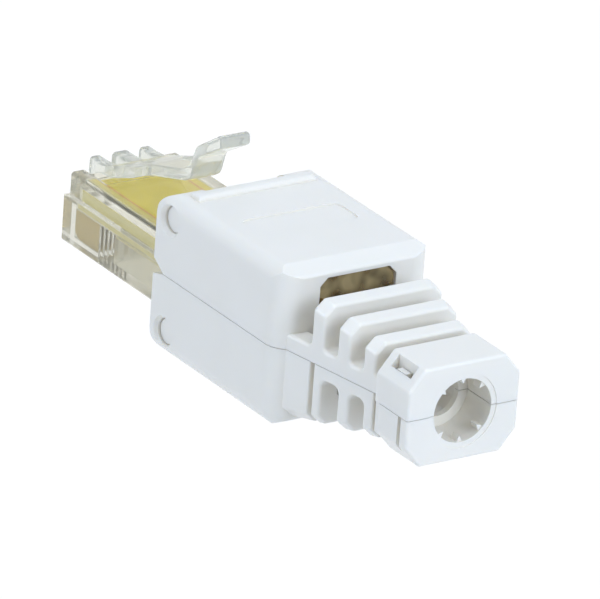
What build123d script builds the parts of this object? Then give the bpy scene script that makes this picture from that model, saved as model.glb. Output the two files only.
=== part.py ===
from build123d import *
import os
from math import cos, radians, sin

os.makedirs("parts", exist_ok=True)

# A tool-less field termination plug for a network cable, in millimetres.
# X runs from the nose to the cable end, Y across, and Z up with the latch on top.
# Stations along X count from the nose's front face, and each finished piece is moved
# so that the middle of the plug's length is X = 0. The lower cover's underside is Z = 0.
# A rise is a height above the seam between the covers, and a drop is a depth below it.

# Housing: two covers that meet at the seam and swing on pins at their front corners
housing_height = 14.0
housing_half_width = 7.35
housing_length = 18.95
hinge_setback = 2.05
ear_radius = 2.0
side_wall = 1.2
roof_wall = 1.15
rear_wall = 1.25
seam_gap = 0.06
front_chamfer_run = 1.5
upper_chamfer_rise = 0.95
lower_chamfer_rise = 0.4
bevel_run = 1.6
bevel_drop = 0.7
bevel_radius = 0.3
corner_radius = 2.0
roof_edge_radius = 1.3

# Hinge pins on the terminal block, and their holes in the covers' side walls
pin_radius = 1.1
pin_clearance = 0.05
pin_recess = 0.5
pin_hole_overrun = 0.2
pin_rim_chamfer = 0.28

# Upper cover's roof: notch for the latch, grip ridge and label field
notch_half_width = 3.9
notch_depth = 2.25
notch_corner_radius = 0.7
ridge_setback = 0.4
ridge_width = 1.3
ridge_height = 0.45
ridge_side_margin = 1.6
ridge_edge_radius = 0.4
label_setback = 8.05
label_length = 3.6
label_side_margin = 2.55
label_depth = 0.15
label_corner_radius = 0.8

# Window through the rear wall, where the wires pass from the housing to the neck
window_half_width = 3.7
upper_window_rise = 5.85
lower_window_rise = 4.6
window_corner = 0.7

# Neck: a tapered tube with slots, between the housing and the collar.
# Spans along it are shares of its length, from the housing to the upper collar.
neck_length = 11.25
neck_side_step = 0.98
neck_top_step = 1.07
neck_end_half_width = 4.42
neck_end_half_height = 3.9
neck_wall = 1.7
neck_corner_y = 0.9
neck_corner_z = 0.85
neck_overlap = 0.2
upper_slots = [(-0.1, 0.213), (0.342, 0.48), (0.609, 0.747), (0.876, 1.1)]
upper_rail_rise = 1.4
upper_slot_radius = 0.45
lower_slots = [(0.34, 0.516), (0.635, 0.778)]
lower_rail_rise = 1.15
lower_slot_radius = 0.6
lower_grooves = [(0.222, 0.262), (0.88, 0.902)]
groove_depth = 0.7
rib_edge_radius = 0.3
groove_edge_radius = 0.18
corner_edge_radius = 0.4

# Collar: the cable clamp at the rear, one half on each cover.
# Spans along it are shares of its length.
collar_length = 4.65
lower_collar_setback = 0.55
collar_half_width = 5.38
collar_half_height = 4.27
collar_corner_y = 1.5
collar_corner_z = 1.8
collar_edge_radius = 0.25
cable_radius = 2.78
bore_share = 0.247
throat_radius = 1.9
ring_radius = 3.25
ring_depth = 0.08
tooth_height = 0.5
tooth_half_angle = 6.0
tooth_inset = 0.25
tooth_length = 0.9
tooth_angles = [45, 90, 135]
flange_length = 0.9
flange_groove_width = 0.45
flange_groove_depth = 0.55

# Snap arms of the lower collar, in slots of the upper collar
snap_slot_shares = (0.183, 0.796)
snap_slot_insets = (1.43, 0.68)
arm_shares = (0.344, 0.613)
arm_clearance = 0.1
arm_rise = 3.3
arm_root = 1.5

# Clear nose that enters the jack
nose_length = 16.3
nose_width = 11.68
nose_drop = 4.2
nose_rise = 1.9
ledge_inset = 0.59
nose_edge_radius = 0.3
nose_hollow_x = 7.5
nose_hollow_half_width = 4.9
nose_floor = 0.8
brow_length = 1.0
brow_rise = 0.85
brow_height = 1.5

# Circuit board, with its contacts in front and its wire terminals behind.
# A setback is a station counted from the hinge.
board_front_x = 1.2
board_end_setback = 9.95
board_half_width = 4.3
board_thickness = 1.6
board_rise = 0.65
board_clearance = 0.1
contact_count = 8
contact_pitch = 1.016
contact_thickness = 0.35
contact_front_x = 0.65
contact_length = 3.65
contact_drop = 3.8
contact_nose_radius = 0.9
contact_clearance = 0.05
contact_rear_gap = 0.15
terminal_setback = 8.65
terminal_thickness = 0.4
terminal_spacing = 0.7
terminal_clearance = 0.05
terminal_rise = 4.2
slit_width = 0.35
slit_depth = 1.7
wires_per_row = 4
wire_rise = 3.4
wire_hole_radius = 0.6

# White block that carries the board, the nose and the hinge pins
plate_gap = 0.05
plate_thickness = 1.55
plate_side_clearance = 0.25
plate_half_height = 3.2
slab_end_setback = 10.15
slab_half_height = 2.3
tower_setbacks = (7.25, 10.05)
tower_side_clearance = 0.95
tower_end_walls = 1.2
tower_rise = 4.3
channel_wall = 1.0
channel_depth = 1.55
cheek_thickness = 0.95
cheek_gap = 0.1
cheek_setbacks = (-0.05, 2.25)
cheek_headroom = 0.55
boss_radius = 0.7
spigot_length = 1.8
spigot_clearance = 0.1

# Tinted caps that press the wires into the terminals, one in each cover
cap_bridge_setback = 6.25
cap_block_setback = 10.55
cap_rear_gap = 0.55
cap_side_clearance = 0.75
cap_bridge_gap = 0.1
cap_tongue_recess = 0.3
cap_tongue_clearance = 0.1
cap_block_rise = 1.4
cap_presser_margin = 0.4
cap_presser_depth = 0.4
cap_notch_length = 0.9
cap_notch_depth = 0.95

# Clear latch: side profile as stations and rises. The tab's stations count from the nose's rear.
latch_top = [(-1.08, 2.65), (0.5, 2.65), (2.0, 2.8), (6.1, 4.3)]
tab_top = [(-5.6, 5.68), (-4.4, 6.5), (-3.6, 8.44), (0.0, 10.85)]
tab_underside = [(0.06, 9.56), (-3.3, 7.55), (-4.0, 5.4), (-5.0, 4.8)]
latch_underside = [(5.85, 3.2), (2.6, 1.94), (0.5, 1.65), (-0.1, 1.4), (-0.45, 0.97), (-1.08, 0.97)]
latch_half_width = 2.95
leg_slots = [(-1.95, -0.75), (0.75, 1.95)]
leg_slot_end_x = 2.1
leg_front_radius = 0.5
leg_edge_radius = 0.3
shoulder_x = 6.1
tab_half_width = 1.62
tab_tip_half_width = 1.45
tab_root_radius = 0.5
tab_bend_radius = 0.9
tab_tip_radius = 0.4
tab_edge_radius = 0.2
recess_floor = [(-0.5, 1.12), (0.5, 1.57), (3.5, 1.57)]
recess_half_width = 4.0

# Values worked out from the ones above
seam_z = housing_height / 2
half_gap = seam_gap / 2
low_face_z = seam_z + half_gap
hinge_rise = seam_z - ear_radius
hinge_x = nose_length + hinge_setback
housing_front_x = hinge_x - ear_radius
housing_rear_x = housing_front_x + housing_length
cavity_half_width = housing_half_width - side_wall
cavity_rise = seam_z - roof_wall
cavity_rear_x = housing_rear_x - rear_wall
pin_hole_radius = pin_radius + pin_clearance
neck_half_width = housing_half_width - neck_side_step
neck_half_height = seam_z - neck_top_step
upper_collar_x = housing_rear_x + neck_length
lower_collar_x = upper_collar_x + lower_collar_setback
collar_rear_x = upper_collar_x + collar_length
snap_slot_x = tuple(upper_collar_x + share * collar_length for share in snap_slot_shares)
snap_slot_y = tuple(collar_half_width - inset for inset in snap_slot_insets)
arm_x = tuple(upper_collar_x + share * collar_length for share in arm_shares)
arm_y = (snap_slot_y[0] + arm_clearance, snap_slot_y[1] - arm_clearance)
nose_bottom = seam_z - nose_drop
nose_half_width = nose_width / 2
nose_upper_half_width = nose_half_width - ledge_inset
brow_top = seam_z + brow_rise
board_rear_x = hinge_x + board_end_setback
board_top = seam_z + board_rise
board_bottom = board_top - board_thickness
plate_x = nose_length + plate_gap
plate_half_width = cavity_half_width - plate_side_clearance
slab_rear_x = hinge_x + slab_end_setback
tower_x = tuple(hinge_x + setback for setback in tower_setbacks)
tower_half_width = cavity_half_width - tower_side_clearance
cheek_x = tuple(hinge_x + setback for setback in cheek_setbacks)
cheek_rise = cavity_rise - cheek_headroom
cheek_outer_y = cavity_half_width - cheek_gap
terminal_x = hinge_x + terminal_setback
wire_pitch = (2 * tower_half_width - tower_end_walls) / wires_per_row
terminal_width = wire_pitch - terminal_spacing
channel_width = wire_pitch - channel_wall
cap_bridge_x = hinge_x + cap_bridge_setback
cap_block_x = hinge_x + cap_block_setback
cap_rear_x = cavity_rear_x - cap_rear_gap
cap_half_width = cavity_half_width - cap_side_clearance
cap_bridge_rise = tower_rise + cap_bridge_gap
cap_presser_width = channel_width - cap_presser_margin
reach = 2 * housing_half_width
seam_plane = Plane.XY.offset(seam_z)
to_frame = Location((-(latch_top[0][0] + collar_rear_x) / 2, 0, 0))
wire_places = [(i - (wires_per_row - 1) / 2) * wire_pitch for i in range(wires_per_row)]
contact_places = [(i - (contact_count - 1) / 2) * contact_pitch for i in range(contact_count)]


def block(x, y, z, mode=Mode.ADD):
    """A box given by its two ends along each axis."""
    with Locations(((x[0] + x[1]) / 2, (y[0] + y[1]) / 2, (z[0] + z[1]) / 2)):
        Box(x[1] - x[0], y[1] - y[0], z[1] - z[0], mode=mode)


def across(half_width):
    """The span of a feature that is centred on the plug's middle plane."""
    return (-half_width, half_width)


def above_seam(low, high):
    """Two rises as Z values."""
    return (seam_z + low, seam_z + high)


def sided(side, span):
    """A span in Y, taken to the given side of the middle plane."""
    return sorted((side * span[0], side * span[1]))


def at_seam(points, start_x=0):
    """Profile points given as stations from start_x and rises, as X and Z values."""
    return [(start_x + x, seam_z + rise) for x, rise in points]


def disc(plane, radius):
    """A round sketch about the plane's origin."""
    with BuildSketch(plane) as sketch:
        Circle(radius)
    return sketch.sketch


def arch(x, half_width, height, corner_y, corner_z):
    """Upper half of an octagon with soft corners, across the plug at station x."""
    high = seam_z + height
    with BuildSketch(Plane.YZ.offset(x)) as section:
        with BuildLine():
            Polyline(
                (-half_width, low_face_z),
                (-half_width, high - corner_z),
                (-half_width + corner_y, high),
                (half_width - corner_y, high),
                (half_width, high - corner_z),
                (half_width, low_face_z),
                close=True,
            )
        make_face()
        fillet(section.vertices().sort_by(Axis.Y)[2:], corner_edge_radius)
    return section.sketch


def window_shape(x, low, high, inset):
    """Outline of the rear window between two rises at station x, moved in by inset at its sides and top."""
    with BuildSketch(Plane.YZ.offset(x)) as window:
        with Locations((0, seam_z + low)):
            Rectangle(
                2 * (window_half_width - inset),
                high - low - inset,
                align=(Align.CENTER, Align.MIN),
            )
        chamfer(window.vertices().group_by(Axis.Y)[-1], window_corner)
    return window.sketch


def neck_station(share):
    """Station of a place on the neck, given as a share of its length."""
    return housing_rear_x + share * neck_length


def neck_size(x):
    """Half width and height of the neck at station x."""
    share = (x - housing_rear_x) / neck_length
    half_width = neck_half_width + share * (neck_end_half_width - neck_half_width)
    height = neck_half_height + share * (neck_end_half_height - neck_half_height)
    return half_width, height


def neck_section(x, inset):
    """The neck's section at station x, with its outer faces moved in by inset."""
    half_width, height = neck_size(x)
    return arch(x, half_width - inset, height - inset, neck_corner_y, neck_corner_z)


def on_rim(edge, stations, floor_rise):
    """Whether an edge of the neck lies where a slot opens to the outside."""
    middle = edge.center()
    half_width, height = neck_size(middle.X)
    side_gap = half_width - abs(middle.Y)
    top_gap = seam_z + height - middle.Z
    corner_gap = side_gap / neck_corner_y + top_gap / neck_corner_z - 1
    outside = min(side_gap, top_gap, corner_gap) < seam_gap
    beside_slot = any(start - half_gap < middle.X < end + half_gap for start, end in stations)
    return outside and beside_slot and middle.Z > seam_z + floor_rise - half_gap


def slotted_neck(collar_x, slots, floor_rise, floor_radius, grooves):
    """The solid neck with slots across it and grooves round it, all with rounded rims."""
    stations = [(neck_station(start), neck_station(end)) for start, end in slots]
    groove_stations = [(neck_station(start), neck_station(end)) for start, end in grooves]
    with BuildPart() as neck:
        loft([neck_section(cavity_rear_x + neck_overlap, 0), neck_section(collar_x + neck_overlap, 0)])
        for start, end in stations:
            with BuildSketch(Plane.XZ) as profile:
                with Locations(((start + end) / 2, seam_z + floor_rise)):
                    Rectangle(end - start, seam_z, align=(Align.CENTER, Align.MIN))
                fillet(profile.vertices().group_by(Axis.Y)[0], floor_radius)
            extrude(amount=reach, both=True, mode=Mode.SUBTRACT)
        fillet(neck.edges().filter_by(lambda e: on_rim(e, stations, floor_rise)), rib_edge_radius)
        for span in groove_stations:
            outer_y, outer_rise = neck_size(span[0])
            block(span, across(reach), above_seam(outer_rise - groove_depth, seam_z), Mode.SUBTRACT)
            for side in (-1, 1):
                side_y = sided(side, (outer_y - groove_depth, reach))
                block(span, side_y, above_seam(0, seam_z), Mode.SUBTRACT)
            fillet(neck.edges().filter_by(lambda e: on_rim(e, [span], 0)), groove_edge_radius)
    return neck.part


def cover_blank(neck, collar_x, chamfer_rise, window_rise):
    """The upper half of the housing, neck and collar, before the details of one cover."""
    hinge_z = seam_z + hinge_rise
    with BuildPart() as blank:
        # Body: side profile with a round ear about the hinge and a bevel at the rear
        with BuildSketch(Plane.XZ) as profile:
            with BuildLine():
                Polyline(
                    (hinge_x, housing_height),
                    (housing_rear_x - bevel_run, housing_height),
                    (housing_rear_x, housing_height - bevel_drop),
                    (housing_rear_x, low_face_z),
                    (housing_front_x + front_chamfer_run, low_face_z),
                    (housing_front_x, low_face_z + chamfer_rise),
                    (housing_front_x, hinge_z),
                )
                RadiusArc((housing_front_x, hinge_z), (hinge_x, housing_height), ear_radius)
            make_face()
            rear_corners = profile.vertices().sort_by(Axis.X)[-3:]
            fillet(rear_corners.sort_by(Axis.Y)[1:], bevel_radius)
        extrude(amount=housing_half_width, both=True)

        # Rounded roof edges and rear corners
        with BuildSketch(Plane.YZ.offset(housing_front_x)) as front_view:
            with Locations((0, low_face_z)):
                Rectangle(
                    2 * housing_half_width,
                    housing_height - low_face_z,
                    align=(Align.CENTER, Align.MIN),
                )
            fillet(front_view.vertices().group_by(Axis.Y)[-1], roof_edge_radius)
        extrude(amount=housing_length, mode=Mode.INTERSECT)
        with BuildSketch(Plane.XY) as plan:
            with Locations((housing_front_x, 0)):
                Rectangle(housing_length, 2 * housing_half_width, align=(Align.MIN, Align.CENTER))
            fillet(plan.vertices().group_by(Axis.X)[-1], corner_radius)
        extrude(amount=housing_height, mode=Mode.INTERSECT)

        # Neck, and the collar block with its rear rim rounded
        add(neck)
        collar = arch(collar_x, collar_half_width, collar_half_height, collar_corner_y, collar_corner_z)
        extrude(collar, amount=collar_rear_x - collar_x)
        rear_face = blank.faces().sort_by(Axis.X)[-1]
        fillet(rear_face.edges().sort_by(Axis.Z)[1:], collar_edge_radius)

        # Hollow of the body, open at the front and at the seam
        block(
            (housing_front_x - ear_radius, cavity_rear_x),
            across(cavity_half_width),
            above_seam(0, cavity_rise),
            Mode.SUBTRACT,
        )

        # Window in the rear wall, and the neck's tunnel behind it
        window = window_shape(cavity_rear_x - neck_overlap, 0, window_rise, 0)
        extrude(window, amount=rear_wall + 2 * neck_overlap, mode=Mode.SUBTRACT)
        loft([neck_section(x, neck_wall) for x in (housing_rear_x, collar_x)], mode=Mode.SUBTRACT)

        # Stepped bore of the collar
        bores = [
            (collar_x - neck_overlap, throat_radius),
            (upper_collar_x + bore_share * collar_length, cable_radius),
            (collar_rear_x - ring_depth, ring_radius),
        ]
        for start, radius in bores:
            end_plane = Plane((start, 0, seam_z), (0, 1, 0), (1, 0, 0))
            extrude(disc(end_plane, radius), amount=collar_rear_x - start, mode=Mode.SUBTRACT)

        # Teeth that bite into the cable's jacket
        root = cable_radius + ring_depth
        tip = cable_radius - tooth_height
        for angle in tooth_angles:
            corners = [
                (root, radians(angle - tooth_half_angle)),
                (root, radians(angle + tooth_half_angle)),
                (tip, radians(angle)),
            ]
            with BuildSketch(Plane.YZ.offset(collar_rear_x - tooth_inset)):
                with BuildLine():
                    Polyline(*[(r * cos(a), seam_z + r * sin(a)) for r, a in corners], close=True)
                make_face()
            extrude(amount=-tooth_length)

        # Hinge holes with chamfered rims
        for side in (-1, 1):
            wall = Plane((hinge_x, side * housing_half_width, hinge_z), (1, 0, 0), (0, side, 0))
            hole = disc(wall, pin_hole_radius)
            extrude(hole, amount=-(side_wall + pin_hole_overrun), mode=Mode.SUBTRACT)
            rim = disc(wall, pin_hole_radius + pin_rim_chamfer)
            loft([rim, disc(wall.offset(-pin_rim_chamfer), pin_hole_radius)], mode=Mode.SUBTRACT)
    return blank.part


# Upper cover
upper_neck = slotted_neck(upper_collar_x, upper_slots, upper_rail_rise, upper_slot_radius, [])
with BuildPart() as upper_cover:
    add(cover_blank(upper_neck, upper_collar_x, upper_chamfer_rise, upper_window_rise))

    # Notch between the front ears, where the latch's tab swings down
    with BuildSketch(Plane.XY.offset(housing_height - roof_wall - half_gap)) as notch:
        with Locations((housing_front_x - ear_radius, 0)):
            Rectangle(
                notch_depth + ear_radius,
                2 * notch_half_width,
                align=(Align.MIN, Align.CENTER),
            )
        fillet(notch.vertices().group_by(Axis.X)[-1], notch_corner_radius)
    extrude(amount=2 * roof_wall, mode=Mode.SUBTRACT)

    # Grip ridge across the roof
    ridge_front_x = hinge_x + ridge_setback
    block(
        (ridge_front_x, ridge_front_x + ridge_width),
        across(housing_half_width - ridge_side_margin),
        (housing_height - roof_wall / 2, housing_height + ridge_height),
    )
    ridge_top = upper_cover.faces().filter_by(Axis.Z).sort_by(Axis.Z)[-1]
    fillet(ridge_top.edges(), ridge_edge_radius)

    # Label field
    label_half_width = housing_half_width - label_side_margin
    with BuildSketch(Plane.XY.offset(housing_height)):
        with Locations((hinge_x + label_setback, 0)):
            RectangleRounded(label_length, 2 * label_half_width, label_corner_radius)
    extrude(amount=-label_depth, mode=Mode.SUBTRACT)

    # Slots for the snap arms
    for side in (-1, 1):
        block(snap_slot_x, sided(side, snap_slot_y), above_seam(0, collar_half_height), Mode.SUBTRACT)
upper_cover.part.label = "upper_cover"
export_step(upper_cover.part.moved(to_frame), "parts/upper_cover.step")

# Lower cover: modelled above the seam like the upper one, then mirrored
lower_neck = slotted_neck(
    lower_collar_x, lower_slots, lower_rail_rise, lower_slot_radius, lower_grooves
)
with BuildPart() as lower_half:
    add(cover_blank(lower_neck, lower_collar_x, lower_chamfer_rise, lower_window_rise))

    # Side grooves in front of the collar's rear flange
    groove_rear_x = collar_rear_x - flange_length
    for side in (-1, 1):
        block(
            (groove_rear_x - flange_groove_width, groove_rear_x),
            sided(side, (collar_half_width - flange_groove_depth, reach)),
            above_seam(0, seam_z),
            Mode.SUBTRACT,
        )
with BuildPart() as lower_cover:
    mirror(lower_half.part, about=seam_plane)

    # Snap arms
    for side in (-1, 1):
        block(arm_x, sided(side, arm_y), above_seam(-arm_root, arm_rise))
lower_cover.part.label = "lower_cover"
export_step(lower_cover.part.moved(to_frame), "parts/lower_cover.step")

# Clear nose
with BuildPart() as nose_body:
    block((0, nose_length), across(nose_half_width), (nose_bottom, seam_z))
    block((0, nose_length), across(nose_upper_half_width), above_seam(0, nose_rise))
    long_edges = nose_body.edges().filter_by(Axis.X).group_by(Axis.Z)
    fillet(long_edges[0] + long_edges[-1], nose_edge_radius)

    # Brow in front of the nose, below the latch's feet
    with BuildSketch(Plane.XZ):
        with BuildLine():
            Polyline(
                (0, brow_top - brow_height),
                (-brow_length, brow_top - brow_height / 2),
                (-brow_length, brow_top),
                (0, brow_top),
                close=True,
            )
        make_face()
    extrude(amount=latch_half_width, both=True)

    # Recess under the latch
    recess_ends = [(x, housing_height) for x in (recess_floor[-1][0], recess_floor[0][0])]
    with BuildSketch(Plane.XZ):
        with BuildLine():
            Polyline(*at_seam(recess_floor), *recess_ends, close=True)
        make_face()
    extrude(amount=recess_half_width, both=True, mode=Mode.SUBTRACT)

    # Room for the board, and the hollow below it
    block(
        (board_front_x - board_clearance, nose_length),
        across(board_half_width + board_clearance),
        (board_bottom - board_clearance, board_top + board_clearance),
        Mode.SUBTRACT,
    )
    block(
        (nose_hollow_x, nose_length),
        across(nose_hollow_half_width),
        (nose_bottom + nose_floor, board_bottom - board_clearance),
        Mode.SUBTRACT,
    )

    # Slots for the contacts, open at the front and below
    for y in contact_places:
        half_slot = contact_thickness / 2 + contact_clearance
        block(
            (-brow_length, contact_front_x + contact_length + contact_rear_gap),
            (y - half_slot, y + half_slot),
            (0, board_bottom + contact_clearance),
            Mode.SUBTRACT,
        )
nose_body.part.label = "nose_body"
export_step(nose_body.part.moved(to_frame), "parts/nose_body.step")


def on_leg_top(edge):
    """Whether an edge runs along the top of one of the latch's legs."""
    middle = edge.center()
    along = edge.length > leg_edge_radius and abs(edge.tangent_at(0.5).Y) < half_gap
    return along and middle.X < leg_slot_end_x and middle.Z > seam_z + latch_top[0][1] - leg_front_radius


def on_tab_side(edge):
    """Whether an edge runs along one side of the latch's tab, clear of its root."""
    middle = edge.center()
    return middle.X > shoulder_x + 3 * tab_root_radius and abs(middle.Y) > tab_tip_half_width - half_gap


# Clear latch
with BuildPart() as latch_lever:
    tip_x = nose_length + tab_underside[0][0]
    bend_end_x = nose_length + tab_top[0][0]
    with BuildSketch(Plane.XZ) as profile:
        with BuildLine():
            Polyline(
                *at_seam(latch_top),
                *at_seam(tab_top, nose_length),
                *at_seam(tab_underside, nose_length),
                *at_seam(latch_underside),
                close=True,
            )
        make_face()
        fillet(profile.vertices().group_by(Axis.X)[0].sort_by(Axis.Y)[-1], leg_front_radius)
        fillet(profile.vertices().sort_by(Axis.X)[-2:], tab_tip_radius)
        bend_span = (bend_end_x - tab_bend_radius, tip_x - tab_bend_radius)
        fillet(profile.vertices().filter_by_position(Axis.X, *bend_span), tab_bend_radius)
    extrude(amount=latch_half_width, both=True)

    # Narrow tab behind the locking shoulders
    for side in (-1, 1):
        with BuildSketch(Plane.XY) as trim:
            with BuildLine():
                Polyline(
                    (shoulder_x, side * tab_half_width),
                    (tip_x, side * tab_tip_half_width),
                    (tip_x, side * reach),
                    (shoulder_x, side * reach),
                    close=True,
                )
            make_face()
            inner = trim.vertices().group_by(Axis.X)[0].sort_by(lambda v: abs(v.Y))[0]
            fillet(inner, tab_root_radius)
        extrude(amount=reach * 2, mode=Mode.SUBTRACT)

    fillet(latch_lever.edges().filter_by(on_tab_side), tab_edge_radius)

    # Gaps between the three legs, whose upper edges are rounded
    for y in leg_slots:
        block((-reach, leg_slot_end_x), y, (0, housing_height), Mode.SUBTRACT)
    fillet(latch_lever.edges().filter_by(on_leg_top), leg_edge_radius)
latch_lever.part.label = "latch_lever"
export_step(latch_lever.part.moved(to_frame), "parts/latch_lever.step")

# Circuit board
with BuildPart() as circuit_board:
    block((board_front_x, board_rear_x), across(board_half_width), (board_bottom, board_top))
circuit_board.part.label = "circuit_board"
export_step(circuit_board.part.moved(to_frame), "parts/circuit_board.step")

# Contact blades below the front of the board
for index, y in enumerate(contact_places, start=1):
    with BuildPart() as contact:
        block(
            (contact_front_x, contact_front_x + contact_length),
            (y - contact_thickness / 2, y + contact_thickness / 2),
            (seam_z - contact_drop, board_bottom),
        )
        front_edges = contact.edges().filter_by(Axis.Y).group_by(Axis.X)[0]
        fillet(front_edges.sort_by(Axis.Z)[0], contact_nose_radius)
    contact.part.label = f"contact_{index}"
    export_step(contact.part.moved(to_frame), f"parts/contact_{index}.step")


def terminal_fork(y, root_z, tip_z):
    """A flat fork that stands on the board, with a slit open at its tip."""
    slit_end_z = tip_z - slit_depth if tip_z > root_z else tip_z + slit_depth
    sheet = (terminal_x - terminal_thickness / 2, terminal_x + terminal_thickness / 2)
    with BuildPart() as fork:
        block(sheet, (y - terminal_width / 2, y + terminal_width / 2), sorted((root_z, tip_z)))
        block(sheet, (y - slit_width / 2, y + slit_width / 2), sorted((slit_end_z, tip_z)), Mode.SUBTRACT)
    return fork.part


# Wire terminals, four above the board and four below it
for row, (root_z, side) in enumerate([(board_top, 1), (board_bottom, -1)]):
    for place, y in enumerate(wire_places, start=1):
        terminal = terminal_fork(y, root_z, seam_z + side * terminal_rise)
        terminal.label = f"idc_terminal_{row * wires_per_row + place}"
        export_step(terminal.moved(to_frame), f"parts/{terminal.label}.step")

# Terminal block
with BuildPart() as terminal_block:
    plate_rear_x = plate_x + plate_thickness
    plate_y = across(plate_half_width)
    block((plate_x, plate_rear_x), plate_y, above_seam(-plate_half_height, plate_half_height))
    block((plate_rear_x, slab_rear_x), plate_y, above_seam(-slab_half_height, slab_half_height))
    block(tower_x, across(tower_half_width), above_seam(-tower_rise, tower_rise))
    block(
        (plate_x - spigot_length, plate_x),
        across(nose_hollow_half_width - spigot_clearance),
        (nose_bottom + nose_floor + spigot_clearance, board_bottom - board_clearance),
    )

    # Cheeks with the hinge pins
    for side in (-1, 1):
        cheek_y = sided(side, (cheek_outer_y - cheek_thickness, cheek_outer_y))
        block(cheek_x, cheek_y, above_seam(-cheek_rise, cheek_rise))
        for rise in (-hinge_rise, hinge_rise):
            root_plane = Plane((hinge_x, side * cheek_outer_y, seam_z + rise), (1, 0, 0), (0, side, 0))
            extrude(disc(root_plane, boss_radius), amount=-cheek_thickness)
            extrude(disc(root_plane, pin_radius), amount=housing_half_width - pin_recess - cheek_outer_y)

    # Slot for the board
    block(
        (plate_x - spigot_length, slab_rear_x),
        across(board_half_width + board_clearance),
        (board_bottom - board_clearance, board_top + board_clearance),
        Mode.SUBTRACT,
    )

    # Wire channels and terminal slots in both towers
    half_slot_x = terminal_thickness / 2 + terminal_clearance
    half_slot_y = terminal_width / 2 + terminal_clearance
    for y in wire_places:
        for side in (-1, 1):
            channel_z = sorted((seam_z + side * tower_rise, seam_z + side * (tower_rise - channel_depth)))
            block(tower_x, (y - channel_width / 2, y + channel_width / 2), channel_z, Mode.SUBTRACT)
        block(
            (terminal_x - half_slot_x, terminal_x + half_slot_x),
            (y - half_slot_y, y + half_slot_y),
            above_seam(-tower_rise, tower_rise),
            Mode.SUBTRACT,
        )
terminal_block.part.label = "terminal_block"
export_step(terminal_block.part.moved(to_frame), "parts/terminal_block.step")


def wire_cap(window_rise):
    """A tinted cap above the seam, with a tongue that fills the cover's rear window."""
    with BuildPart() as cap:
        block((cap_bridge_x, cap_block_x), across(cap_half_width), above_seam(cap_bridge_rise, cavity_rise))
        block((cap_block_x, cap_rear_x), across(cap_half_width), above_seam(cap_block_rise, cavity_rise))
        tongue_length = housing_rear_x - cap_tongue_recess - cap_rear_x
        tongue = window_shape(cap_rear_x, cap_block_rise, window_rise, cap_tongue_clearance)
        extrude(tongue, amount=tongue_length)
        for y in wire_places:
            # Presser above the wire, in front of and behind the terminal
            presser_rises = above_seam(cap_bridge_rise - cap_presser_depth, cap_bridge_rise)
            block(tower_x, (y - cap_presser_width / 2, y + cap_presser_width / 2), presser_rises)
            block(
                (terminal_x - 2 * half_slot_x, terminal_x + 2 * half_slot_x),
                (y - terminal_width / 2, y + terminal_width / 2),
                presser_rises,
                Mode.SUBTRACT,
            )

            # Wire hole, and the notch above it
            hole_plane = Plane((cap_block_x, y, seam_z + wire_rise), (0, 1, 0), (1, 0, 0))
            hole_length = cap_rear_x + tongue_length - cap_block_x
            extrude(disc(hole_plane, wire_hole_radius), amount=hole_length, mode=Mode.SUBTRACT)
            block(
                (cap_rear_x - cap_notch_length, cap_rear_x),
                (y - channel_width / 2, y + channel_width / 2),
                above_seam(cavity_rise - cap_notch_depth, cavity_rise),
                Mode.SUBTRACT,
            )
    return cap.part


# Tinted caps, one in each cover
upper_wire_cap = wire_cap(upper_window_rise)
upper_wire_cap.label = "upper_wire_cap"
export_step(upper_wire_cap.moved(to_frame), "parts/upper_wire_cap.step")
with BuildPart() as lower_wire_cap:
    mirror(wire_cap(lower_window_rise), about=seam_plane)
lower_wire_cap.part.label = "lower_wire_cap"
export_step(lower_wire_cap.part.moved(to_frame), "parts/lower_wire_cap.step")
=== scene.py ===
from math import cos, radians, sin

import bpy
import numpy as np
from mathutils import Matrix, Vector

MM = 0.001

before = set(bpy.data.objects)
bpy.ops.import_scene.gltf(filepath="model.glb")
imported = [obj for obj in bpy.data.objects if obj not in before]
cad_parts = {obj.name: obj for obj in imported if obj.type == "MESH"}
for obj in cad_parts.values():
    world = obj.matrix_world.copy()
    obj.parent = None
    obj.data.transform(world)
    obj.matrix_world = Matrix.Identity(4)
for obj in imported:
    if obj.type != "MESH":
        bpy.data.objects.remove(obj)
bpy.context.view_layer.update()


# Colours, nodes and patterns


def srgb(hex_code):
    """Turn an sRGB hex colour into the linear RGBA that shaders take."""
    values = np.array([int(hex_code[i : i + 2], 16) for i in (0, 2, 4)]) / 255
    linear = np.where(values <= 0.04045, values / 12.92, ((values + 0.055) / 1.055) ** 2.4)
    return (*(float(v) for v in linear), 1.0)


def add_node(tree, kind, inputs=None, **settings):
    """Add a shader node with its settings and inputs, and return its outputs.

    Each input gets a value, or another node's output, which is linked to it.
    """
    node = tree.nodes.new("ShaderNode" + kind)
    for name, value in settings.items():
        setattr(node, name, value)
    for place, value in (inputs or {}).items():
        if isinstance(value, bpy.types.NodeSocket):
            tree.links.new(value, node.inputs[place])
        else:
            node.inputs[place].default_value = value
    return node.outputs


def new_material(name):
    """A material with an empty node tree."""
    material = bpy.data.materials.new(name)
    material.use_nodes = True
    material.node_tree.nodes.clear()
    return material, material.node_tree


def per_metre(size_mm):
    """The scale at which a pattern's patches have about the given size."""
    return 1 / (size_mm * MM)


# White mouldings

FLOW_MARK_MM = 5.0
WHITE_GRAIN_MM = 0.12
WHITE_GRAIN_DEPTH_MM = 0.01
WHITE_SKIN_MM = 0.8


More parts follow.
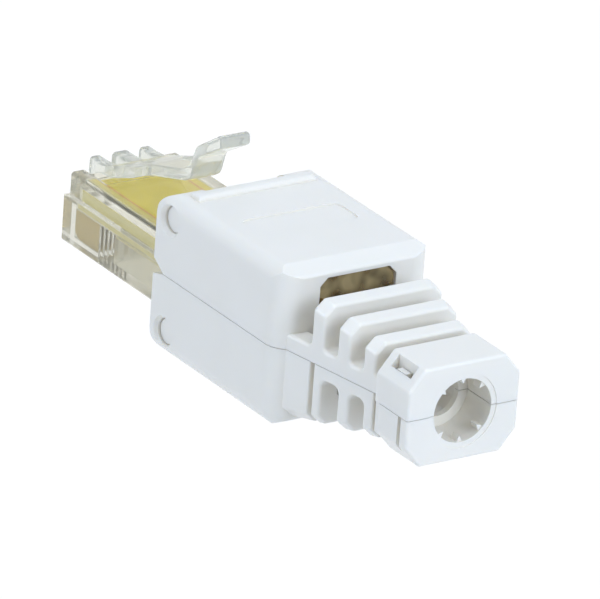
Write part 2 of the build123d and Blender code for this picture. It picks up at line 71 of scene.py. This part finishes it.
def moulded_white():
    """White polycarbonate, injection moulded in a finely eroded tool.

    A very fine even grain breaks up the shine, and slow flow marks from the melt
    change its tone and gloss a little along the part. The real grain is too fine for
    the render, so it is drawn coarser.
    """
    material, tree = new_material("moulded_white_polycarbonate")
    place = add_node(tree, "TexCoord")["Object"]
    flow_inputs = {"Vector": place, "Scale": per_metre(FLOW_MARK_MM), "Detail": 1.0}
    flow = add_node(tree, "TexNoise", flow_inputs)["Fac"]
    grain_inputs = {"Vector": place, "Scale": per_metre(WHITE_GRAIN_MM), "Detail": 2.0}
    grain = add_node(tree, "TexNoise", grain_inputs)["Fac"]
    tones = {"Factor": flow, "A": srgb("EEE8DB"), "B": srgb("EAE4D5")}
    gloss = {"Value": flow, "From Min": 0.2, "From Max": 0.8, "To Min": 0.28, "To Max": 0.34}
    relief = {"Height": grain, "Strength": 0.1, "Distance": WHITE_GRAIN_DEPTH_MM * MM}
    surface = add_node(
        tree,
        "BsdfPrincipled",
        {
            "Base Color": add_node(tree, "Mix", tones, data_type="RGBA")["Result"],
            "Roughness": add_node(tree, "MapRange", gloss)["Result"],
            "IOR": 1.585,
            "Normal": add_node(tree, "Bump", relief)["Normal"],
            "Subsurface Weight": 0.25,
            "Subsurface Radius": (1.0, 0.85, 0.6),
            "Subsurface Scale": WHITE_SKIN_MM * MM,
        },
    )
    add_node(tree, "OutputMaterial", {"Surface": surface["BSDF"]})
    return material


# See-through mouldings

ROOF_START_MM = 7.66
ROOF_END_MM = 7.74
POLISHED_TO_MM = 4.0
DULL_FROM_MM = 4.2
USUAL_SHINE = 0.5
POLISHED_SHINE = 0.06
WAVE_MM = 1.2
WAVE_DEPTH_MM = 0.02
LIGHT_PASSED = 0.85


def over_board(tree, place):
    """1 in the nose's roof over the board, where its mould is polished, and 0 elsewhere.

    The roof starts just above the board's top, and the polish fades out near its sides.
    """
    axes = add_node(tree, "SeparateXYZ", {"Vector": place})
    rise = {"Value": axes["Z"], "From Min": ROOF_START_MM * MM, "From Max": ROOF_END_MM * MM}
    above = add_node(tree, "MapRange", rise)["Result"]
    sideways = add_node(tree, "Math", {0: axes["Y"]}, operation="ABSOLUTE")["Value"]
    fall = {"Value": sideways, "From Min": POLISHED_TO_MM * MM, "From Max": DULL_FROM_MM * MM}
    inside = add_node(tree, "MapRange", {**fall, "To Min": 1.0, "To Max": 0.0})["Result"]
    return add_node(tree, "Math", {0: above, 1: inside}, operation="MULTIPLY")["Value"]


def moulded_see_through(name, tint, haze_tint, haze, roughness, cloud_mm=3.0, uneven=0.1, polished=False):
    """Polycarbonate that light passes through, injection moulded.

    The walls bend what is seen through them and their melt is slightly cloudy: the
    share haze of the light is scattered, give or take the share uneven, in clouds of
    about cloud_mm. A polished piece has no haze and little shine in its roof over the
    board. Light from lamps and from matt surfaces passes straight through with a small
    loss.
    """
    material, tree = new_material(name)
    place = add_node(tree, "TexCoord")["Object"]

    # The haze, with clouds of its own size in it
    cloud_inputs = {"Vector": place, "Scale": per_metre(cloud_mm), "Detail": 1.0}
    clouds = add_node(tree, "TexNoise", cloud_inputs)["Fac"]
    least, most = haze * (1 - uneven), haze * (1 + uneven)
    amounts = {"Value": clouds, "From Min": 0.3, "From Max": 0.7, "To Min": least, "To Max": most}
    haze_share = add_node(tree, "MapRange", amounts)["Result"]
    reflected = add_node(tree, "BsdfDiffuse", {"Color": srgb(haze_tint)})["BSDF"]
    let_through = add_node(tree, "BsdfTranslucent", {"Color": srgb(haze_tint)})["BSDF"]
    scattered = add_node(tree, "MixShader", {"Fac": 0.5, 1: reflected, 2: let_through})["Shader"]

    # The polish over the board
    shine = USUAL_SHINE
    if polished:
        roof = over_board(tree, place)
        shines = {"Value": roof, "To Min": USUAL_SHINE, "To Max": POLISHED_SHINE}
        shine = add_node(tree, "MapRange", shines)["Result"]
        elsewhere = add_node(tree, "Math", {0: 1.0, 1: roof}, operation="SUBTRACT")["Value"]
        both = {0: haze_share, 1: elsewhere}
        haze_share = add_node(tree, "Math", both, operation="MULTIPLY")["Value"]

    # The clear wall, with a slightly wavy skin
    wave_inputs = {"Vector": place, "Scale": per_metre(WAVE_MM), "Detail": 1.0}
    waves = add_node(tree, "TexNoise", wave_inputs)["Fac"]
    relief = {"Height": waves, "Strength": 0.08, "Distance": WAVE_DEPTH_MM * MM}
    wall = add_node(
        tree,
        "BsdfPrincipled",
        {
            "Base Color": srgb(tint),
            "Roughness": roughness,
            "IOR": 1.5,
            "Normal": add_node(tree, "Bump", relief)["Normal"],
            "Specular IOR Level": shine,
            "Transmission Weight": 1.0,
        },
    )["BSDF"]
    hazy = add_node(tree, "MixShader", {"Fac": haze_share, 1: wall, 2: scattered})["Shader"]

    # Light on its way to other pieces
    rays = add_node(tree, "LightPath")
    either = {0: rays["Is Shadow Ray"], 1: rays["Is Diffuse Ray"]}
    passing = add_node(tree, "Math", either, operation="MAXIMUM")["Value"]
    passed = add_node(tree, "Math", {0: passing, 1: LIGHT_PASSED}, operation="MULTIPLY")["Value"]
    straight = add_node(tree, "BsdfTransparent", {"Color": srgb(tint)})["BSDF"]
    surface = add_node(tree, "MixShader", {"Fac": passed, 1: hazy, 2: straight})["Shader"]
    add_node(tree, "OutputMaterial", {"Surface": surface})
    return material


# The board

BOARD_MIDDLE_MM = 6.85
FIBRE_TO_MM = 0.74
MASK_FROM_MM = 0.76
TRACK_MIDDLE_MM = 3.45
TRACK_TO_MM = 0.08
TRACK_END_MM = 0.16
INK_PATCH_MM = 2.0
FIBRE_MM = 0.5
WEAVE_MM = 0.4
WEAVE_DEPTH_MM = 0.02


def laminated_board():
    """Glass fibre laminate with a yellow solder mask, printed and cured.

    The mask is bright on both faces, with an orange copper track along each side
    showing through it. The sawn edges show the pale fibre between the two masks, and
    a weave of about 0.4 mm lifts the surface a little.
    """
    material, tree = new_material("yellow_masked_laminate")
    place = add_node(tree, "TexCoord")["Object"]
    axes = add_node(tree, "SeparateXYZ", {"Vector": place})

    # The mask, and the track that shows near its own middle line on each side
    ink_inputs = {"Vector": place, "Scale": per_metre(INK_PATCH_MM), "Detail": 2.0}
    ink = add_node(tree, "TexNoise", ink_inputs)["Fac"]
    mask_tones = {"Factor": ink, "A": srgb("E9D400"), "B": srgb("E1CA00")}
    mask = add_node(tree, "Mix", mask_tones, data_type="RGBA")["Result"]
    sideways = add_node(tree, "Math", {0: axes["Y"]}, operation="ABSOLUTE")["Value"]
    beside = {0: sideways, 1: TRACK_MIDDLE_MM * MM}
    past_track = add_node(tree, "Math", beside, operation="SUBTRACT")["Value"]
    from_track = add_node(tree, "Math", {0: past_track}, operation="ABSOLUTE")["Value"]
    track_fade = {"Value": from_track, "From Min": TRACK_TO_MM * MM, "From Max": TRACK_END_MM * MM}
    on_track = add_node(tree, "MapRange", {**track_fade, "To Min": 1.0, "To Max": 0.0})["Result"]
    printed_tones = {"Factor": on_track, "A": mask, "B": srgb("D89A1C")}
    printed = add_node(tree, "Mix", printed_tones, data_type="RGBA")["Result"]

    # The fibre, which shows near the board's middle height
    fibre_inputs = {"Vector": place, "Scale": per_metre(FIBRE_MM), "Detail": 2.0}
    strands = add_node(tree, "TexNoise", fibre_inputs)["Fac"]
    fibre_tones = {"Factor": strands, "A": srgb("E6DA90"), "B": srgb("DCCB74")}
    fibre = add_node(tree, "Mix", fibre_tones, data_type="RGBA")["Result"]
    height = {0: axes["Z"], 1: BOARD_MIDDLE_MM * MM}
    past_middle = add_node(tree, "Math", height, operation="SUBTRACT")["Value"]
    from_middle = add_node(tree, "Math", {0: past_middle}, operation="ABSOLUTE")["Value"]
    fibre_fade = {"Value": from_middle, "From Min": FIBRE_TO_MM * MM, "From Max": MASK_FROM_MM * MM}
    on_fibre = add_node(tree, "MapRange", {**fibre_fade, "To Min": 1.0, "To Max": 0.0})["Result"]
    tones = {"Factor": on_fibre, "A": printed, "B": fibre}

    weave_inputs = {"Vector": place, "Scale": per_metre(WEAVE_MM), "Detail": 1.0}
    weave = add_node(tree, "TexNoise", weave_inputs)["Fac"]
    relief = {"Height": weave, "Strength": 0.15, "Distance": WEAVE_DEPTH_MM * MM}
    surface = add_node(
        tree,
        "BsdfPrincipled",
        {
            "Base Color": add_node(tree, "Mix", tones, data_type="RGBA")["Result"],
            "Roughness": 0.35,
            "IOR": 1.52,
            "Normal": add_node(tree, "Bump", relief)["Normal"],
            "Specular IOR Level": 0.12,
        },
    )
    add_node(tree, "OutputMaterial", {"Surface": surface["BSDF"]})
    return material


# Blades and terminals

STREAK_MM = 0.6
STAMPED_GRAIN_MM = 0.15
STAMPED_GRAIN_DEPTH_MM = 0.01


def plated_metal(name, hex_code, smoothest, roughest):
    """Stamped copper alloy with a bright plating, a little streaked by the stamping.

    The real grain is too fine for the render, so it is drawn coarser.
    """
    material, tree = new_material(name)
    place = add_node(tree, "TexCoord")["Object"]
    streak_inputs = {"Vector": place, "Scale": per_metre(STREAK_MM), "Detail": 3.0}
    streaks = add_node(tree, "TexNoise", streak_inputs)["Fac"]
    grain_inputs = {"Vector": place, "Scale": per_metre(STAMPED_GRAIN_MM), "Detail": 2.0}
    grain = add_node(tree, "TexNoise", grain_inputs)["Fac"]
    gloss = {"Value": streaks, "From Min": 0.3, "From Max": 0.7, "To Min": smoothest, "To Max": roughest}
    relief = {"Height": grain, "Strength": 0.1, "Distance": STAMPED_GRAIN_DEPTH_MM * MM}
    surface = add_node(
        tree,
        "BsdfPrincipled",
        {
            "Base Color": srgb(hex_code),
            "Metallic": 1.0,
            "Roughness": add_node(tree, "MapRange", gloss)["Result"],
            "Normal": add_node(tree, "Bump", relief)["Normal"],
        },
    )
    add_node(tree, "OutputMaterial", {"Surface": surface["BSDF"]})
    return material


# The finish of each piece

white = moulded_white()
clear = moulded_see_through("moulded_clear_polycarbonate", "F7F5EA", "F0ECDA", 0.22, 0.1, polished=True)
cloudy = moulded_see_through("moulded_cloudy_polycarbonate", "FBFBF2", "EEF0EC", 0.26, 0.12)
smoked = moulded_see_through(
    "moulded_smoked_polycarbonate", "E0D2B4", "DCC692", 0.48, 0.16, cloud_mm=1.5, uneven=0.85
)
gold = plated_metal("gold_plated_bronze", "C0A63C", 0.3, 0.45)
tin = plated_metal("tin_plated_bronze", "C9C6BF", 0.25, 0.4)

WIRE_NUMBERS = range(1, 9)
FINISHES = {
    "nose_body": clear,
    "latch_lever": cloudy,
    "circuit_board": laminated_board(),
    "terminal_block": white,
    "upper_cover": white,
    "lower_cover": white,
    "upper_wire_cap": smoked,
    "lower_wire_cap": smoked,
    **{f"contact_{i}": gold for i in WIRE_NUMBERS},
    **{f"idc_terminal_{i}": tin for i in WIRE_NUMBERS},
}
for node, finish in FINISHES.items():
    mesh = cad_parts[node].data
    mesh.materials.clear()
    mesh.materials.append(finish)


# Studio: white paper below, three soft boxes and an even surround

PLUG_MIDDLE_MM = 7
FLOOR_Z = -25 * MM
FLOOR_HALF = 1.2
SHADOW_SHARE = 0.1
LIT_PAPER = 0.5
SURROUND_LIGHT = 0.52
DAYLIGHT = "DCE9FF"
SOFT_BOX_MM = 260


def seen_directly(tree):
    """1 for rays from the camera, from reflections and through clear pieces, or else 0."""
    rays = add_node(tree, "LightPath")
    redirected = {0: rays["Is Glossy Ray"], 1: rays["Is Transmission Ray"]}
    by_piece = add_node(tree, "Math", redirected, operation="MAXIMUM")["Value"]
    any_way = {0: by_piece, 1: rays["Is Camera Ray"]}
    return add_node(tree, "Math", any_way, operation="MAXIMUM")["Value"]


def white_paper():
    """Matt white paper that is seen as white where it is lit, with a faint shadow.

    What is seen is SHADOW_SHARE of the real paper, and a glow that makes up the rest
    to a full white where the paper's own light is LIT_PAPER.
    """
    material, tree = new_material("white_paper_sweep")
    paper = add_node(tree, "BsdfDiffuse", {"Color": srgb("E8E8E8")})["BSDF"]
    strength = (1 - SHADOW_SHARE * LIT_PAPER) / (1 - SHADOW_SHARE)
    glow = add_node(tree, "Emission", {"Strength": strength})["Emission"]
    shares = {0: seen_directly(tree), 1: 1 - SHADOW_SHARE}
    glow_share = add_node(tree, "Math", shares, operation="MULTIPLY")["Value"]
    surface = add_node(tree, "MixShader", {"Fac": glow_share, 1: paper, 2: glow})["Shader"]
    add_node(tree, "OutputMaterial", {"Surface": surface})
    return material


def floor_sheet():
    """A flat square: x and y run from -FLOOR_HALF to FLOOR_HALF at the height FLOOR_Z."""
    u, v = np.meshgrid([-1.0, 1.0], [-1.0, 1.0])
    points = np.stack([u * FLOOR_HALF, v * FLOOR_HALF, np.full_like(u, FLOOR_Z)], axis=-1)
    mesh = bpy.data.meshes.new("floor")
    mesh.from_pydata(points.reshape(-1, 3).tolist(), [], [(0, 1, 3, 2)])
    floor = bpy.data.objects.new("floor", mesh)
    bpy.context.scene.collection.objects.link(floor)
    mesh.materials.append(white_paper())


def surround():
    """Even cool light from all round, and pure white where it is seen past the floor."""
    world = bpy.data.worlds.new("studio_surround")
    bpy.context.scene.world = world
    world.use_nodes = True
    tree = world.node_tree
    tree.nodes.clear()
    seen = seen_directly(tree)
    tones = {"Factor": seen, "A": srgb(DAYLIGHT), "B": srgb("FFFFFF")}
    levels = {"Value": seen, "To Min": SURROUND_LIGHT, "To Max": 1.0}
    light = {
        "Color": add_node(tree, "Mix", tones, data_type="RGBA")["Result"],
        "Strength": add_node(tree, "MapRange", levels)["Result"],
    }
    background = add_node(tree, "Background", light)["Background"]
    add_node(tree, "OutputWorld", {"Surface": background})


def soft_box(name, place_mm, power):
    """A square area light that faces the plug's middle."""
    light = bpy.data.lights.new(name, "AREA")
    light.energy = power
    light.size = SOFT_BOX_MM * MM
    light.color = srgb(DAYLIGHT)[:3]
    lamp = bpy.data.objects.new(name, light)
    place = Vector(place_mm) * MM
    lamp.location = place
    aim = Vector((0, 0, PLUG_MIDDLE_MM * MM)) - place
    lamp.rotation_euler = aim.to_track_quat("-Z", "Y").to_euler()
    bpy.context.scene.collection.objects.link(lamp)


floor_sheet()
surround()
soft_box("side_box", (-130, -440, 230), 1.02)
soft_box("rear_box", (450, 90, 230), 1.5)
soft_box("top_box", (50, 50, 500), 0.9)


# Camera: its direction, roll, distance and framing were solved from the photograph

AZIMUTH, ELEVATION, ROLL = 55.294, 23.244, 4.188
DISTANCE_MM = 827.07
PIVOT_MM = Vector((-3.06, 0, PLUG_MIDDLE_MM))
SHIFT_RIGHT_MM, SHIFT_UP_MM = 2.84, -1.75
PIXELS_PER_MM = 12.1666
IMAGE_WIDTH = 600
SENSOR_MM = 36
CLIP_NEAR, CLIP_FAR = 0.01, 10


def photo_camera():
    """Place the camera along the solved direction, at the solved distance."""
    azimuth, elevation, roll = (radians(angle) for angle in (AZIMUTH, ELEVATION, ROLL))
    level = Vector((cos(azimuth), sin(azimuth), 0))
    back = Vector((sin(azimuth) * cos(elevation), -cos(azimuth) * cos(elevation), sin(elevation)))
    upright = back.cross(level)
    right = cos(roll) * level + sin(roll) * upright
    up = cos(roll) * upright - sin(roll) * level
    aim = PIVOT_MM + SHIFT_RIGHT_MM * right + SHIFT_UP_MM * up
    data = bpy.data.cameras.new("camera")
    data.sensor_width = SENSOR_MM
    data.lens = SENSOR_MM * DISTANCE_MM * PIXELS_PER_MM / IMAGE_WIDTH
    data.clip_start = CLIP_NEAR
    data.clip_end = CLIP_FAR
    camera = bpy.data.objects.new("camera", data)
    turn = Matrix((right, up, back)).transposed().to_4x4()
    camera.matrix_world = Matrix.Translation((aim + DISTANCE_MM * back) * MM) @ turn
    bpy.context.scene.collection.objects.link(camera)
    bpy.context.scene.camera = camera


photo_camera()
bpy.context.scene.view_settings.view_transform = "Standard"
